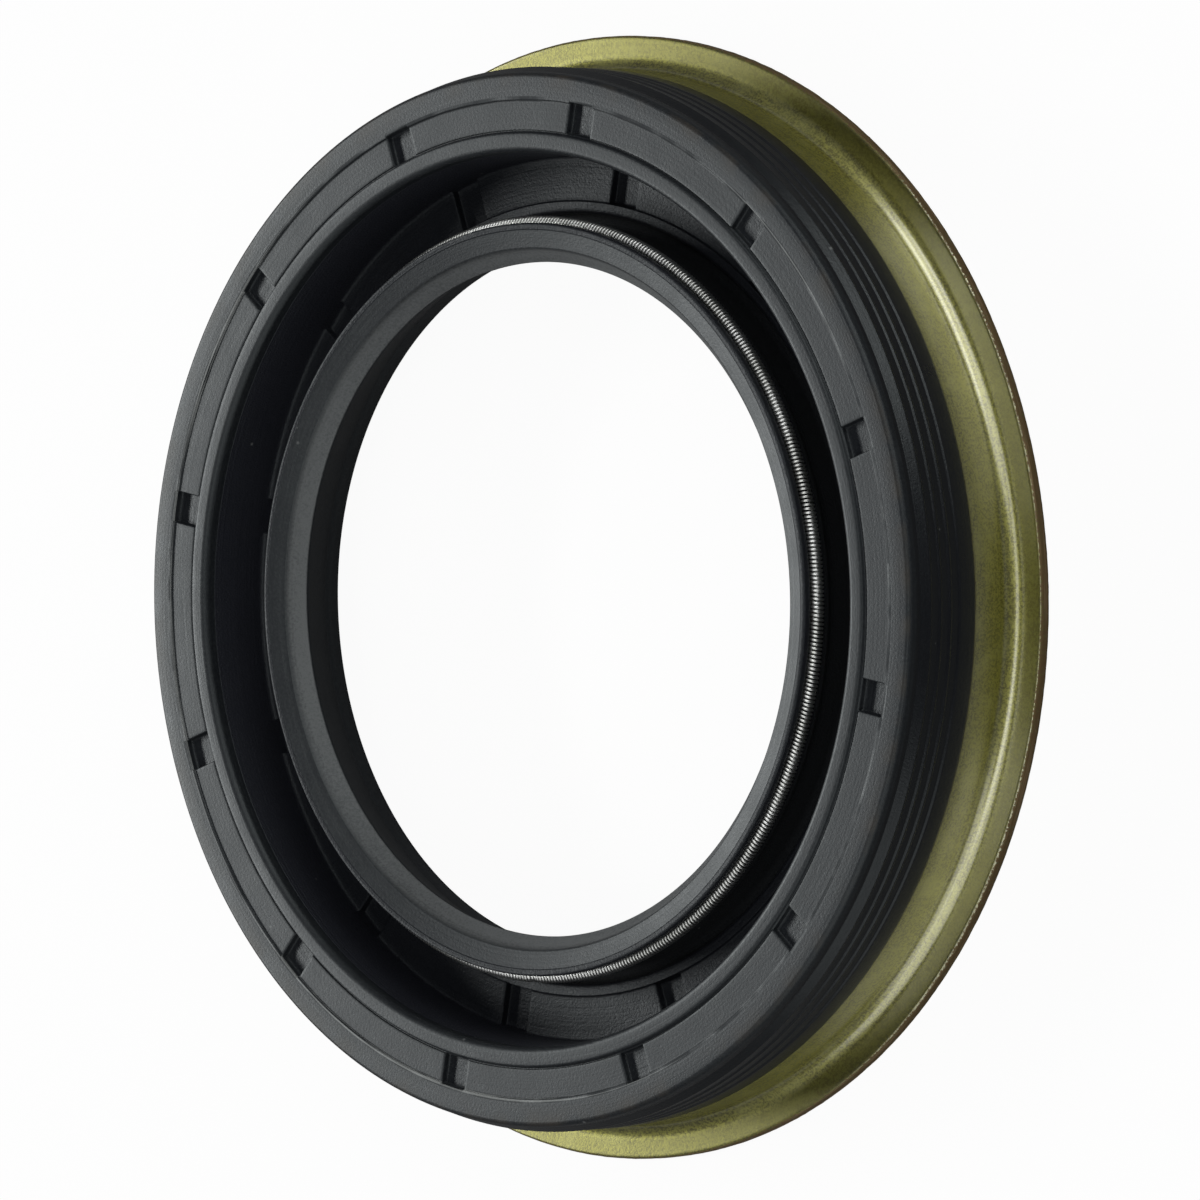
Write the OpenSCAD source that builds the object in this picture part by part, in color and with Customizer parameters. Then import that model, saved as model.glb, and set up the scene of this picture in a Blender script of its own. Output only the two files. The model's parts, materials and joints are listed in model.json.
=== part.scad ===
// Radial shaft seal with a flanged steel case, a moulded rubber body and a garter spring.
// The back of the flange lies on Z = 0, the shaft axis is Z, and the oil side faces +Z.
// Every depth is measured down from the notched ring on the front.
// Widths marked "across" stretch with the section between the lip and the ribs.

/* [Seal size] */
// Height from the back of the flange to the notched ring
seal_h = 13.5; // [13.2:0.1:14.5]
// Diameter over the ribs, a light press in a 92 mm housing
rib_d = 92.4; // [90:0.1:95]
// Diameter of the free lip edge, which a 60 mm shaft stretches open
lip_d = 58.6; // [57:0.1:61]
// Width across from the lip to the ribs at which the widths below hold
section_ref = 16.9; // [16:0.1:18]

/* [Steel case] */
// Thickness of the pressed sheet
sheet_t = 1; // [0.8:0.05:1.1]
// Width of the flange outside the wall
flange_w = 3.25; // [2.8:0.05:5]
// Width across from the ribs in to the bare steel wall
wall_in = 0.2; // [0.1:0.02:0.3]
// Width across from the bare wall in to its neck
neck_in = 0.6; // [0.4:0.05:0.8]
// Height of the neck's foot above the coat's end
neck_rise = 0.5; // [0.2:0.05:0.7]
// Height of the slope between the wall and its neck
neck_slope_h = 0.6; // [0.4:0.1:0.9]
// Radius of the hollow between the wall and the flange
flange_fillet = 1.45; // [1:0.05:1.9]
// Radius inside the bends of the channel
bend_r = 0.3; // [0.2:0.05:0.5]
// Depth of the channel's closed end
fold_depth = 2.3; // [2.1:0.1:2.6]
// Width across of the rubber on the channel's inner wall
wall_coat = 0.84; // [0.6:0.02:1]
// Thickness of the rubber between the trough's floor and the web
web_coat = 0.88; // [0.75:0.01:1.1]
// Width across from the lip to the hole in the web
web_hole_w = 4.9; // [4.85:0.05:5.2]

/* [Rubber front ring] */
// Height of the outer face above the notched ring
face_rise = 0.16; // [0.1:0.02:0.2]
// Width across from the ribs in to the end of the flat outer face
face_in = 0.88; // [0.8:0.02:1.2]
// Width across from the ribs in to the foot of the front bevel
bevel_in = 0.25; // [0.2:0.05:0.4]
// Depth of the front bevel
bevel_h = 0.32; // [0.2:0.02:0.4]
// Depth at which the lead-in starts
lead_start = 0.6; // [0.5:0.05:0.7]
// Depth at which the lead-in ends
lead_h = 1.35; // [1.1:0.05:1.45]
// Width across from the ribs in to the parting step
parting_in = 2.94; // [2.8:0.02:3.1]
// Width across of the notched ring, from the parting step in to the valley
notch_ring_w = 2.56; // [2.5:0.02:2.8]
// Depth of the valley between the notched ring and the bead
valley_h = 0.15; // [0.1:0.05:0.3]
// Width of the valley's floor
valley_w = 0.1; // [0.06:0.02:0.16]
// Width across from the valley to the top of the bead's steep side
bead_side_w = 0.32; // [0.26:0.02:0.4]
// Height of the bead's steep side above the notched ring
bead_side_rise = 0.14; // [0.1:0.02:0.14]
// Width across from the valley to the bead's flat top
bead_top_w = 0.62; // [0.5:0.02:0.7]
// Height of the bead above the notched ring
bead_rise = 0.25; // [0.15:0.05:0.3]
// Radius between the bead and the trough's wall
bead_r = 0.75; // [0.5:0.05:0.8]
// Width across from the valley to the trough's wall at the bead
bead_w = 1.95; // [1.85:0.05:2.05]
// Width across by which the trough narrows down to its floor
trough_draft = 0.19; // [0.1:0.01:0.25]

/* [Notches] */
// Number of notches in the face, and of slots in the trough
notch_count = 12; // [8:1:16]
// Width across by which a notch cuts past the parting step
notch_lap = 0.12; // [0.06:0.02:0.2]
// Width of a notch
notch_w = 2.8; // [2.4:0.1:3.2]
// Depth of a notch
notch_h = 1.85; // [1.5:0.05:2]
// Width of a slot in the trough
slot_w = 3.15; // [2.8:0.05:3.4]
// Depth of a slot below the trough's floor
slot_h = 0.7; // [0.5:0.05:0.75]

/* [Ribbed coat] */
// Number of ribs round the coat, the last of which is the smooth band
rib_count = 4; // [3:1:4]
// Depth of the first rib's crest
rib_start = 1.92; // [1.8:0.02:2]
// Distance from one rib to the next
rib_pitch = 1.25; // [1.15:0.05:1.3]
// Height of the flat crest of a rib
rib_crest = 0.1; // [0.06:0.02:0.16]
// Height of a rib's flank
rib_flank = 0.2; // [0.15:0.01:0.25]
// Radial depth between two ribs
rib_cut = 0.13; // [0.08:0.01:0.16]
// Depth of the coat's end on the steel wall
coat_end = 7.6; // [7.4:0.05:7.8]

/* [Trough] */
// Depth of the slotted floor
trough_h = 6.72; // [6.6:0.02:6.8]
// Width across from the lip to the outside of the raised band
band_w = 5.35; // [5.2:0.05:5.5]
// Width across from the lip to the inside of the raised band
band_hole_w = 4.35; // [4.25:0.05:4.4]
// Height of the raised band above the slotted floor
band_rise = 0.82; // [0.6:0.02:1]
// Radial slope of the raised band's edge
band_slope = 0.2; // [0.1:0.05:0.3]
// Depth to the start of the round bottom of the gap behind the lip
gap_h = 6.95; // [6.8:0.05:7]

/* [Sealing lip] */
// Depth of the middle of the lip edge
lip_h = 3.35; // [3.2:0.05:3.5]
// Height of the narrow land on the lip edge
lip_land = 0.3; // [0.2:0.05:0.4]
// Width across from the lip edge to the nose's inner edge
nose_in_w = 1.2; // [1:0.05:1.4]
// Depth of the nose's inner edge
nose_in_h = 1.62; // [1.5:0.02:1.8]
// Width across from the lip edge to the nose's outside
nose_out_w = 3.38; // [3.3:0.02:3.4]
// Depth of the nose's top
nose_h = 1.1; // [1:0.05:1.2]
// Radius of the nose's outer corner
nose_r = 0.5; // [0.4:0.05:0.5]
// Width across from the lip edge to the ledge that carries the spring
ledge_w = 3.8; // [3.7:0.05:3.9]
// Depth at which the ledge ends
ledge_h = 3.75; // [3.6:0.05:3.9]
// Depth at which the thin wall starts below the ledge
flex_h = 4.7; // [4.5:0.1:5]
// Width across from the lip edge to the outside of the thin wall
flex_w = 3.15; // [3:0.05:3.3]

/* [Heel] */
// Width across from the lip edge to the hole through the heel
heel_w = 1.7; // [1.5:0.05:1.8]
// Depth at which the slope under the lip reaches the heel
heel_top = 7.3; // [7.1:0.05:7.5]
// Depth of the heel's back
heel_h = 9.14; // [9:0.02:9.4]
// Size of the bevel on the heel's back edge
heel_bevel = 0.25; // [0.15:0.05:0.3]
// Width across from the lip edge to the end of the rubber on the back of the web
back_w = 6.7; // [6.2:0.1:7.5]

/* [Garter spring] */
// Width across from the lip edge to the spring's centre line
spring_w = 3.4; // [3.3:0.02:3.5]
// Diameter over the spring's coils
coil_d = 1.3; // [1.2:0.02:1.36]
// Depth of the spring's centre line
spring_h = 2.65; // [2.6:0.01:2.7]
// Clearance between the spring and its groove
spring_gap = 0.02; // [0.01:0.01:0.04]

/* [Hidden] */

ring_facets = 96;
arc_facets = 48;
cut_over = 0.5;
rib_r = rib_d / 2;
lip_r = lip_d / 2;
stretch = (rib_r - lip_r) / section_ref;

function level(depth) = seal_h - depth;
function from_ribs(width) = rib_r - width * stretch;
function from_lip(width) = lip_r + width * stretch;

half_t = sheet_t / 2;
bend_out_r = bend_r + sheet_t;
wall_r = from_ribs(wall_in);
neck_r = from_ribs(wall_in + neck_in);
flange_r = wall_r + flange_w;
flange_bend_x = wall_r + flange_fillet;
flange_bend_z = sheet_t + flange_fillet;
neck_z = level(coat_end) + neck_rise;
neck_top_z = neck_z + neck_slope_h;
fold_z = level(fold_depth);
fold_bend_z = fold_z - bend_out_r;
face_r = from_ribs(face_in);
bevel_r = from_ribs(bevel_in);
parting_r = from_ribs(parting_in);
step_r = from_ribs(parting_in + notch_ring_w);
step_in = parting_in + notch_ring_w;
bead_side_r = from_ribs(step_in + bead_side_w);
bead_top_r = from_ribs(step_in + bead_top_w);
bead_in_r = from_ribs(step_in + bead_w);
trough_r = from_ribs(step_in + bead_w + trough_draft);
inner_wall_r = from_ribs(step_in + bead_w + trough_draft - wall_coat);
bead_bend_z = level(bead_r - bead_rise);
rib_base_r = rib_r - rib_cut;
fold_out_x = neck_r - bend_out_r;
fold_in_x = inner_wall_r + bend_out_r;
web_z = level(trough_h + web_coat);
web_low_z = web_z - sheet_t;
web_bend_x = inner_wall_r - bend_r;
web_bend_z = web_z + bend_r;
web_hole_r = from_lip(web_hole_w);
band_r = from_lip(band_w);
band_hole_r = from_lip(band_hole_w);
band_h = trough_h - band_rise;
nose_in_r = from_lip(nose_in_w);
nose_out_r = from_lip(nose_out_w);
nose_top_r = nose_out_r - nose_r;
ledge_r = from_lip(ledge_w);
flex_r = from_lip(flex_w);
heel_r = from_lip(heel_w);
back_r = from_lip(back_w);
spring_r = from_lip(spring_w);
coil_r = coil_d / 2;
gap_mid_x = (flex_r + band_hole_r) / 2;
gap_r = (band_hole_r - flex_r) / 2;
notch_out_r = from_ribs(parting_in - notch_lap);
turn = 360 / notch_count;

// One quarter of a bend in the sheet, turned to the quadrant it fills
module sheet_bend(x, z, r, quarter) {
  translate([x, z])
    rotate(quarter)
      intersection() {
        difference() {
          circle(r = r + sheet_t, $fn = arc_facets);
          circle(r = r, $fn = arc_facets);
        }
        square(r + sheet_t);
      }
}

module sheet_run(x0, z0, x1, z1) {
  translate([x0, z0])
    square([x1 - x0, z1 - z0]);
}

// Section of the pressed sheet, from the flange up, over the fold and in to the web
module case_section() {
  sheet_run(flange_bend_x, 0, flange_r, sheet_t);
  sheet_bend(flange_bend_x, flange_bend_z, flange_fillet, 180);
  sheet_run(wall_r - sheet_t, flange_bend_z, wall_r, neck_z);
  polygon([
    [wall_r - sheet_t, neck_z],
    [wall_r, neck_z],
    [neck_r, neck_top_z],
    [neck_r - sheet_t, neck_top_z]
  ]);
  sheet_run(neck_r - sheet_t, neck_top_z, neck_r, fold_bend_z);
  sheet_bend(fold_out_x, fold_bend_z, bend_r, 0);
  sheet_run(fold_in_x, fold_z - sheet_t, fold_out_x, fold_z);
  sheet_bend(fold_in_x, fold_bend_z, bend_r, 90);
  sheet_run(inner_wall_r, web_bend_z, inner_wall_r + sheet_t, fold_bend_z);
  sheet_bend(web_bend_x, web_bend_z, bend_r, 270);
  sheet_run(web_hole_r, web_low_z, web_bend_x, web_z);
}

// What a rounded corner takes away from a square one, outside an arc round x, z
module corner_cut(x, z, r, quarter) {
  translate([x, z])
    rotate(quarter)
      difference() {
        square(r + cut_over);
        circle(r = r, $fn = arc_facets);
      }
}

// Outline of the rubber; where it touches the sheet it runs inside the sheet
module rubber_outline() {
  polygon([
    [trough_r, level(trough_h)],
    [bead_in_r, bead_bend_z],
    [bead_in_r, level(-bead_rise)],
    [bead_top_r, level(-bead_rise)],
    [bead_side_r, level(-bead_side_rise)],
    [step_r - valley_w, level(valley_h)],
    [step_r, level(valley_h)],
    [step_r, level(0)],
    [parting_r, level(0)],
    [parting_r, level(-face_rise)],
    [face_r, level(-face_rise)],
    [bevel_r, level(bevel_h)],
    [bevel_r, level(lead_start)],
    [rib_base_r, level(lead_h)],
    [rib_base_r, level(rib_start - rib_flank)],
    [rib_r, level(rib_start)],
    [rib_r, level(coat_end)],
    [wall_r - half_t, level(coat_end)],
    [wall_r - half_t, neck_z],
    [neck_r - half_t, neck_top_z],
    [neck_r - half_t, fold_z - half_t],
    [inner_wall_r + half_t, fold_z - half_t],
    [inner_wall_r + half_t, web_z - half_t],
    [back_r, web_z - half_t],
    [back_r, level(heel_h)],
    [heel_r + heel_bevel, level(heel_h)],
    [heel_r, level(heel_h - heel_bevel)],
    [heel_r, level(heel_top)],
    [lip_r, level(lip_h + lip_land / 2)],
    [lip_r, level(lip_h - lip_land / 2)],
    [nose_in_r, level(nose_in_h)],
    [nose_top_r, level(nose_h)],
    [nose_out_r, level(nose_h)],
    [nose_out_r, level(spring_h)],
    [ledge_r, level(spring_h)],
    [ledge_r, level(ledge_h)],
    [flex_r, level(flex_h)],
    [flex_r, level(gap_h)],
    [band_hole_r, level(gap_h)],
    [band_hole_r, level(band_h)],
    [band_r - band_slope, level(band_h)],
    [band_r, level(trough_h)]
  ]);
}

// What lies between two ribs, with flanks that run on past the crests
module rib_groove(depth) {
  run = rib_pitch - rib_crest;
  spread = rib_flank * cut_over / rib_cut;
  polygon([
    [rib_r + cut_over, level(depth - spread)],
    [rib_r, level(depth)],
    [rib_base_r, level(depth + rib_flank)],
    [rib_base_r, level(depth + run - rib_flank)],
    [rib_r, level(depth + run)],
    [rib_r + cut_over, level(depth + run + spread)]
  ]);
}

module rubber_section() {
  difference() {
    rubber_outline();
    case_section();
    corner_cut(bead_in_r + bead_r, bead_bend_z, bead_r, 90);
    corner_cut(nose_top_r, level(nose_h + nose_r), nose_r, 0);
    translate([gap_mid_x, level(gap_h)])
      circle(r = gap_r, $fn = arc_facets);
    translate([spring_r, level(spring_h)])
      circle(r = coil_r + spring_gap, $fn = arc_facets);
    for (i = [0 : rib_count - 2])
      rib_groove(rib_start + rib_crest + i * rib_pitch);
  }
}

// A ring of equal pockets between two radii, open upwards
module pockets(r_in, r_out, width, top_depth, height) {
  for (i = [0 : notch_count - 1])
    rotate(i * turn)
      translate([r_in, -width / 2, level(top_depth + height)])
        cube([r_out - r_in, width, height + cut_over]);
}

module case() {
  color([0.45, 0.47, 0.2])
    rotate_extrude($fn = ring_facets)
      case_section();
}

module rubber_body() {
  color([0.2, 0.21, 0.21])
    difference() {
      rotate_extrude($fn = ring_facets)
        rubber_section();
      pockets(step_r, notch_out_r, notch_w, 0, notch_h);
      pockets(band_r, trough_r, slot_w, trough_h, slot_h);
    }
}

module garter_spring() {
  color([0.7, 0.72, 0.7])
    rotate_extrude($fn = ring_facets)
      translate([spring_r, level(spring_h)])
        circle(r = coil_r, $fn = arc_facets);
}

case();
rubber_body();
garter_spring();
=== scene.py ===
import json
import math

import bpy
from mathutils import Matrix, Vector


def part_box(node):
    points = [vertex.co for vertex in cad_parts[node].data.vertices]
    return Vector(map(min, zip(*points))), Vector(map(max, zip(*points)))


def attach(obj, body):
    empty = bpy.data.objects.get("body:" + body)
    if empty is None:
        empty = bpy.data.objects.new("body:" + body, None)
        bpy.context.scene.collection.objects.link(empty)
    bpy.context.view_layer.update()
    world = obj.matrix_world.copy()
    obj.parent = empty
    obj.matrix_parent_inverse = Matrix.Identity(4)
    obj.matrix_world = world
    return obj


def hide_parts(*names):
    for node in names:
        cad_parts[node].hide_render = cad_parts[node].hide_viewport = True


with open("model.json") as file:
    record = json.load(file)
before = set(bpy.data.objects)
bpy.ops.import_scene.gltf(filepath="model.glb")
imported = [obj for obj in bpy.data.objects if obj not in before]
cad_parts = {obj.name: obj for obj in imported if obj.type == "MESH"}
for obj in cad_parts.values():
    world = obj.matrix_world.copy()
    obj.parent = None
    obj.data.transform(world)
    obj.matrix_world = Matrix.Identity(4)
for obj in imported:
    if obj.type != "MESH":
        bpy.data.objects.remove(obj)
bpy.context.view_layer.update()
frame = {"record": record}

mm = 0.001

# driving sizes, read from the CAD frame, in millimetres
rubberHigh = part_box("rubber_body")[1] / mm
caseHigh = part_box("case")[1] / mm
springLow, springHigh = (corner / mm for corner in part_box("garter_spring"))
mounts = {mount["name"]: mount for mount in frame["record"]["mounts"]}
ribRadius = rubberHigh.x
lipRadius = mounts["shaft_lip"]["dims"]["r_mm"]
beadRise = 0.25
ringHeight = rubberHigh.z - beadRise  # the notched ring, from which every depth goes down
coilRadius = (springHigh.z - springLow.z) / 2
springRadius = springHigh.x - coilRadius
springHeight = (springHigh.z + springLow.z) / 2


def ribs(width):
    return ribRadius - width


def lip(width):
    return lipRadius + width


def down(depth):
    return ringHeight - depth


# Turns corners into a smooth section. A corner is (radius, height, round, ...), and the values after
# that go to all its points. A rounded corner gets a guard point on both sides, so that flats stay flat.
def roundSection(corners, guard=0.05):
    points = []
    count = len(corners)
    for i in range(count):
        r, z, fillet, *extra = corners[i]
        if fillet <= 0:
            points.append((r, z, *extra))
            continue
        here = Vector((r, z))
        back = Vector(corners[i - 1][:2]) - here
        ahead = Vector(corners[(i + 1) % count][:2]) - here
        gapBack, gapAhead = back.length, ahead.length
        back.normalize()
        ahead.normalize()
        angle = back.angle(ahead)
        reach = min(fillet / math.tan(angle / 2), 0.46 * gapBack, 0.46 * gapAhead)
        radius = reach * math.tan(angle / 2)
        start, end = here + back * reach, here + ahead * reach
        middle = here + (back + ahead).normalized() * radius / math.sin(angle / 2)
        first = math.atan2(start.y - middle.y, start.x - middle.x)
        sweep = math.atan2(end.y - middle.y, end.x - middle.x) - first
        sweep = (sweep + math.pi) % (2 * math.pi) - math.pi
        steps = max(2, min(8, round(abs(math.degrees(sweep)) / 30 + radius * 3)))
        if gapBack > 2.4 * (reach + guard):
            points.append((*(start + back * guard), *extra))
        for k in range(steps + 1):
            a = first + sweep * k / steps
            points.append((middle.x + radius * math.cos(a), middle.y + radius * math.sin(a), *extra))
        if gapAhead > 2.4 * (reach + guard):
            points.append((*(end + ahead * guard), *extra))
    return points


def arc(x, z, radius, fromAngle, toAngle, steps, *extra):
    angles = [math.radians(fromAngle + (toAngle - fromAngle) * k / steps) for k in range(steps + 1)]
    return [(x + radius * math.cos(a), z + radius * math.sin(a), 0, *extra) for a in angles]


# Builds one sector of a turned piece from columns of (x, y, z, raggedOut, raggedUp), one per angle.
def sectorMesh(name, columns):
    rows = len(columns[0])
    faces = []
    for j in range(len(columns) - 1):
        for i in range(rows):
            k = (i + 1) % rows
            faces.append((j * rows + i, j * rows + k, (j + 1) * rows + k, (j + 1) * rows + i))
    points = [point for column in columns for point in column]
    mesh = bpy.data.meshes.new(name)
    mesh.from_pydata([Vector(point[:3]) * mm for point in points], [], faces)
    for place, label in ((3, "raggedOut"), (4, "raggedUp")):
        layer = mesh.attributes.new(label, "FLOAT", "POINT")
        layer.data.foreach_set("value", [point[place] for point in points])
    mesh.update()
    return mesh


def nodeMaker(tree):
    def make(kind, inputs=None, **settings):
        node = tree.nodes.new(kind)
        for key, value in settings.items():
            setattr(node, key, value)
        for key, value in (inputs or {}).items():
            if isinstance(value, bpy.types.NodeSocket):
                tree.links.new(value, node.inputs[key])
            else:
                node.inputs[key].default_value = value
        return node
    return make


# The Geometry Nodes tree behind every turned piece: it repeats the object's own sector round Z, welds
# the seams, makes the marked edges ragged and draws in the coils at a spring's joint.
def repeatTree():
    tree = bpy.data.node_groups.new("repeatRoundAxis", "GeometryNodeTree")
    tree.interface.new_socket("Sector", in_out="INPUT", socket_type="NodeSocketGeometry")
    for label, kind, value in (
        ("Repeats", "NodeSocketInt", 12),
        ("Weld", "NodeSocketFloat", 0.000002),
        ("Ragged Size", "NodeSocketFloat", 0.001),
        ("Wander", "NodeSocketFloat", 1.0),
        ("Ring Radius", "NodeSocketFloat", 0.0327),
        ("Ring Height", "NodeSocketFloat", 0.0109),
        ("Joint Angle", "NodeSocketFloat", 0.0),
        ("Joint Length", "NodeSocketFloat", 0.01),
        ("Joint Taper", "NodeSocketFloat", 0.0),
    ):
        tree.interface.new_socket(label, in_out="INPUT", socket_type=kind).default_value = value
    tree.interface.new_socket("Finish", in_out="INPUT", socket_type="NodeSocketMaterial")
    tree.interface.new_socket("Piece", in_out="OUTPUT", socket_type="NodeSocketGeometry")
    make = nodeMaker(tree)
    given = make("NodeGroupInput").outputs

    # one point per repeat, each turned by its share of the circle
    points = make("GeometryNodePoints", {0: given["Repeats"]})
    index = make("GeometryNodeInputIndex").outputs[0]
    share = make("ShaderNodeMath", {0: index, 1: given["Repeats"]}, operation="DIVIDE")
    turn = make("ShaderNodeMath", {0: share.outputs[0], 1: 2 * math.pi}, operation="MULTIPLY")
    about = make("ShaderNodeCombineXYZ", {"Z": turn.outputs[0]})
    placed = make("GeometryNodeInstanceOnPoints", {
        "Points": points.outputs[0], "Instance": given["Sector"], "Rotation": about.outputs[0]})
    whole = make("GeometryNodeRealizeInstances", {0: placed.outputs[0]})
    welded = make("GeometryNodeMergeByDistance", {0: whole.outputs[0], "Distance": given["Weld"]})

    # ragged edges: a fine noise and a slow wander at the marked points
    where = make("GeometryNodeInputPosition").outputs[0]
    parts = make("ShaderNodeSeparateXYZ", {0: where})
    flat = make("ShaderNodeCombineXYZ", {"X": parts.outputs[0], "Y": parts.outputs[1]}).outputs[0]
    outwards = make("ShaderNodeVectorMath", {0: flat}, operation="NORMALIZE").outputs[0]
    fineScale = make("ShaderNodeMath", {0: 1.0, 1: given["Ragged Size"]}, operation="DIVIDE").outputs[0]
    fine = make("ShaderNodeTexNoise", {"Vector": flat, "Scale": fineScale, "Detail": 2.0})
    slow = make("ShaderNodeTexNoise", {"Vector": flat, "Scale": 60.0, "Detail": 1.0})
    slowPart = make("ShaderNodeMath", {0: slow.outputs[0], 1: 0.5}, operation="SUBTRACT")
    slowPart = make("ShaderNodeMath", {0: slowPart.outputs[0], 1: given["Wander"]}, operation="MULTIPLY")
    finePart = make("ShaderNodeMath", {0: fine.outputs[0], 1: 0.5}, operation="SUBTRACT")
    both = make("ShaderNodeMath", {0: finePart.outputs[0], 1: slowPart.outputs[0]}, operation="ADD")
    shifts = []
    for label, direction in (("raggedOut", outwards), ("raggedUp", (0.0, 0.0, 1.0))):
        marked = make("GeometryNodeInputNamedAttribute", {0: label}, data_type="FLOAT").outputs[0]
        amount = make("ShaderNodeMath", {0: both.outputs[0], 1: marked}, operation="MULTIPLY")
        amount = make("ShaderNodeMath", {0: amount.outputs[0], 1: mm}, operation="MULTIPLY").outputs[0]
        shifts.append(make("ShaderNodeVectorMath", {0: direction, "Scale": amount}, operation="SCALE"))
    shift = make("ShaderNodeVectorMath", {0: shifts[0].outputs[0], 1: shifts[1].outputs[0]}, operation="ADD")

    # the joint: coils near one angle draw in towards the ring's centre line
    ring = make("ShaderNodeVectorMath", {0: outwards, "Scale": given["Ring Radius"]}, operation="SCALE")
    lift = make("ShaderNodeCombineXYZ", {"Z": given["Ring Height"]})
    heart = make("ShaderNodeVectorMath", {0: ring.outputs[0], 1: lift.outputs[0]}, operation="ADD")
    inwards = make("ShaderNodeVectorMath", {0: heart.outputs[0], 1: where}, operation="SUBTRACT")
    angle = make("ShaderNodeMath", {0: parts.outputs[1], 1: parts.outputs[0]}, operation="ARCTAN2")
    away = make("ShaderNodeMath", {0: angle.outputs[0], 1: given["Joint Angle"]}, operation="SUBTRACT")
    away = make("ShaderNodeMath", {0: away.outputs[0]}, operation="ABSOLUTE")
    near = make("ShaderNodeMapRange", {"Value": away.outputs[0], "From Min": given["Joint Length"],
                                       "From Max": 0.0, "To Min": 0.0, "To Max": given["Joint Taper"]})
    pull = make("ShaderNodeVectorMath", {0: inwards.outputs[0], "Scale": near.outputs[0]}, operation="SCALE")
    total = make("ShaderNodeVectorMath", {0: shift.outputs[0], 1: pull.outputs[0]}, operation="ADD")

    moved = make("GeometryNodeSetPosition", {0: welded.outputs[0], "Offset": total.outputs[0]})
    smooth = make("GeometryNodeSetShadeSmooth", {0: moved.outputs[0]})
    finished = make("GeometryNodeSetMaterial", {0: smooth.outputs[0], "Material": given["Finish"]})
    make("NodeGroupOutput", {0: finished.outputs[0]})
    return tree


turnedTree = repeatTree()


# Runs the tree on a sector, makes the result a plain mesh and hands the piece over.
def turnedPiece(name, sector, node, finish, **inputs):
    piece = bpy.data.objects.new(name, sector)
    bpy.context.scene.collection.objects.link(piece)
    repeat = piece.modifiers.new("repeat", "NODES")
    repeat.node_group = turnedTree
    sockets = [item for item in turnedTree.interface.items_tree if item.in_out == "INPUT"]
    identifiers = {socket.name.replace(" ", ""): socket.identifier for socket in sockets}
    for label, value in dict(inputs, finish=finish).items():
        repeat[identifiers[label[0].upper() + label[1:]]] = value
    mesh = bpy.data.meshes.new_from_object(piece.evaluated_get(bpy.context.evaluated_depsgraph_get()))
    piece.modifiers.clear()
    piece.data = mesh
    mesh.name = name
    if sum(face.center.dot(face.normal) * face.area for face in mesh.polygons) < 0:
        mesh.flip_normals()
    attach(piece, "root")
    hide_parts(node)
    mesh.calc_loop_triangles()
    print(name, "has", len(mesh.loop_triangles), "triangles")


# Shader groups for effects that several finishes share
def shaderGroup(name, inputs, outputs):
    group = bpy.data.node_groups.new(name, "ShaderNodeTree")
    for label, value in inputs:
        group.interface.new_socket(label, in_out="INPUT", socket_type="NodeSocketFloat").default_value = value
    for label in outputs:
        group.interface.new_socket(label, in_out="OUTPUT", socket_type="NodeSocketFloat")
    return group, nodeMaker(group)


# Marks that a turned mould or a spun sheet leaves: streaks along the circle, an even grain, slow clouds.
def turnedMarksGroup():
    group, make = shaderGroup("turnedMarks", [
        ("Streak Width", 0.0004), ("Streak Length", 0.02), ("Grain Size", 0.0003), ("Cloud Size", 0.01),
    ], ["Streaks", "Grain", "Clouds", "Radius", "Height"])
    given = make("NodeGroupInput").outputs
    where = make("ShaderNodeTexCoord").outputs["Object"]
    parts = make("ShaderNodeSeparateXYZ", {0: where})
    flat = make("ShaderNodeCombineXYZ", {"X": parts.outputs[0], "Y": parts.outputs[1]}).outputs[0]
    radius = make("ShaderNodeVectorMath", {0: flat}, operation="LENGTH").outputs["Value"]
    # the direction round the circle is squeezed, so the noise runs along it without a seam
    unit = make("ShaderNodeVectorMath", {0: flat}, operation="NORMALIZE").outputs[0]
    squeeze = make("ShaderNodeMath", {0: 0.045, 1: given["Streak Length"]}, operation="DIVIDE").outputs[0]
    along = make("ShaderNodeVectorMath", {0: unit, "Scale": squeeze}, operation="SCALE").outputs[0]
    reach = make("ShaderNodeMath", {0: radius, 1: parts.outputs[2]}, operation="SUBTRACT").outputs[0]
    across = make("ShaderNodeMath", {0: reach, 1: given["Streak Width"]}, operation="DIVIDE").outputs[0]
    lift = make("ShaderNodeCombineXYZ", {"Z": across}).outputs[0]
    point = make("ShaderNodeVectorMath", {0: along, 1: lift}, operation="ADD").outputs[0]
    streaks = make("ShaderNodeTexNoise", {"Vector": point, "Scale": 1.0, "Detail": 3.0, "Roughness": 0.6})
    fineness = make("ShaderNodeMath", {0: 1.0, 1: given["Grain Size"]}, operation="DIVIDE").outputs[0]
    grain = make("ShaderNodeTexNoise", {"Vector": where, "Scale": fineness, "Detail": 2.0, "Roughness": 0.7})
    breadth = make("ShaderNodeMath", {0: 1.0, 1: given["Cloud Size"]}, operation="DIVIDE").outputs[0]
    clouds = make("ShaderNodeTexNoise", {"Vector": where, "Scale": breadth, "Detail": 2.0})
    make("NodeGroupOutput", {"Streaks": streaks.outputs[0], "Grain": grain.outputs[0],
                             "Clouds": clouds.outputs[0], "Radius": radius,
                             "Height": parts.outputs[2]})
    return group


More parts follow.
